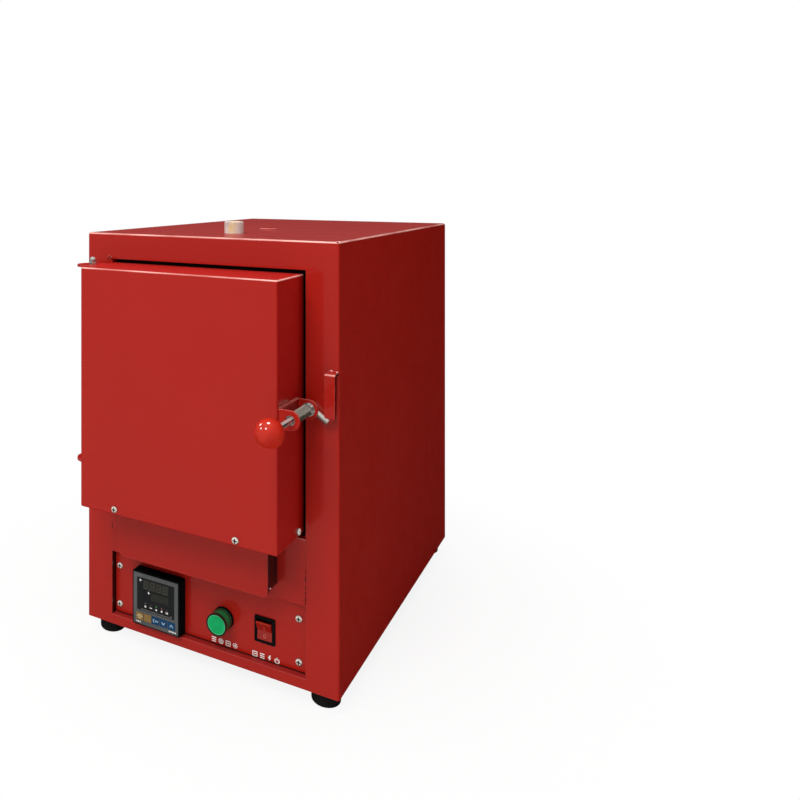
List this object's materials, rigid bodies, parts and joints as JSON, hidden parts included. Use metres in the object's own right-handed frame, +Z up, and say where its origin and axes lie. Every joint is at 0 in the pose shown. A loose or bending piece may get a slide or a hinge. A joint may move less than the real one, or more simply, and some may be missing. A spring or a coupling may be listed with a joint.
{
  "type": "benchtop box furnace",
  "caption": "Benchtop box furnace with a thick side-hinged door, sprung latch rod with ball knob, roof vent, and a recessed panel with controller, pilot lamp and rocker.",
  "frame": {"origin": "on the bench, at the centre of the casing's plan", "axes": "+X to the right seen from the front, +Y towards the back, +Z up; the door is on -Y"},
  "size_m": [0.377, 0.893, 0.604],
  "materials": {
    "red_paint": "gloss powder coat",
    "black_plastic": "satin",
    "grey_plastic": "satin",
    "display_glass": "dark tinted",
    "gold_key": "satin",
    "blue_key": "satin",
    "green_lens": "gloss",
    "red_plastic": "gloss",
    "rubber": "matt",
    "steel": "brushed",
    "zinc": "nickel plated",
    "aluminium": "satin",
    "galvanised": "galvanised",
    "fibre": "matt fibre board",
    "ceramic_white": "gloss",
    "kiln_plate": "matt",
    "heating_wire": "oxidised",
    "board_green": "matt",
    "wire_black": "matt"
  },
  "bodies": {
    "furnace_body": {"casing_shell": "red_paint", "lower_front_panel": "red_paint", "heat_deflector": "red_paint", "base_pan": "galvanised", "rubber_feet": "rubber", "foot_screws": "zinc", "rear_cover": "red_paint", "rear_cover_screws": "zinc", "divider_plate": "galvanised", "control_panel": "red_paint", "panel_screws": "zinc", "controller_housing": "black_plastic", "controller_face": "grey_plastic", "controller_window": "display_glass", "display_board": "board_green", "pilot_lamp_body": "black_plastic", "pilot_lamp_lens": "green_lens", "switch_housing": "black_plastic", "relay_heatsink": "aluminium", "solid_state_relay": "black_plastic", "terminal_block": "black_plastic", "wiring_loom": "wire_black", "cord_gland": "black_plastic", "power_cord": "wire_black", "floor_board": "fibre", "roof_board": "fibre", "side_wall_boards": "fibre", "back_wall_board": "fibre", "fibre_blanket": "fibre", "heating_coils": "heating_wire", "element_terminals": "ceramic_white", "thermocouple_sheath": "ceramic_white", "hearth_plate": "kiln_plate", "vent_tube": "ceramic_white", "vent_blanking_cap": "red_paint", "hinge_lugs": "red_paint", "hinge_bolts": "zinc", "hinge_washers": "zinc", "hinge_cap_nuts": "zinc", "latch_keeper": "red_paint"},
    "door": {"door_shell": "red_paint", "door_insulation": "fibre", "door_back_plate": "steel", "door_plug": "fibre", "door_gasket": "fibre", "door_hinge_ears": "red_paint", "door_screws": "zinc", "latch_bracket": "red_paint", "latch_collar": "zinc", "latch_spring": "steel"},
    "latch_slider": {"latch_washer": "zinc"},
    "latch_handle": {"latch_rod": "steel", "latch_pin": "steel", "ball_knob": "red_plastic"},
    "rocker": {"power_rocker": "red_plastic"},
    "key_mode_body": {"key_mode": "gold_key"},
    "key_program_body": {"key_program": "gold_key"},
    "key_shift_body": {"key_shift": "blue_key"},
    "key_down_body": {"key_down": "blue_key"},
    "key_up_body": {"key_up": "blue_key"}
  },
  "joints": [
    {"name": "door_hinge", "type": "hinge", "parent": "furnace_body", "child": "door", "pos_m": [-0.1615, -0.3195, 0.4], "axis": [0, 0, 1], "range_deg": [-115, 0]},
    {"name": "latch_push", "type": "slide", "parent": "door", "child": "latch_slider", "axis": [0, 1, 0], "range_m": [0, 0.003], "deforming": ["latch_spring"]},
    {"name": "latch_turn", "type": "hinge", "parent": "latch_slider", "child": "latch_handle", "pos_m": [0.1555, -0.35, 0.38], "axis": [0, -1, 0], "range_deg": [-50, 45]},
    {"name": "rocker_tilt", "type": "hinge", "parent": "furnace_body", "child": "rocker", "pos_m": [0.087, -0.2795, 0.076], "axis": [1, 0, 0], "range_deg": [-24, 0]},
    {"name": "key_mode_press", "type": "slide", "parent": "furnace_body", "child": "key_mode_body", "axis": [0, 1, 0], "range_m": [0, 0.0005]},
    {"name": "key_program_press", "type": "slide", "parent": "furnace_body", "child": "key_program_body", "axis": [0, 1, 0], "range_m": [0, 0.0005]},
    {"name": "key_shift_press", "type": "slide", "parent": "furnace_body", "child": "key_shift_body", "axis": [0, 1, 0], "range_m": [0, 0.0005]},
    {"name": "key_down_press", "type": "slide", "parent": "furnace_body", "child": "key_down_body", "axis": [0, 1, 0], "range_m": [0, 0.0005]},
    {"name": "key_up_press", "type": "slide", "parent": "furnace_body", "child": "key_up_body", "axis": [0, 1, 0], "range_m": [0, 0.0005]}
  ]
}
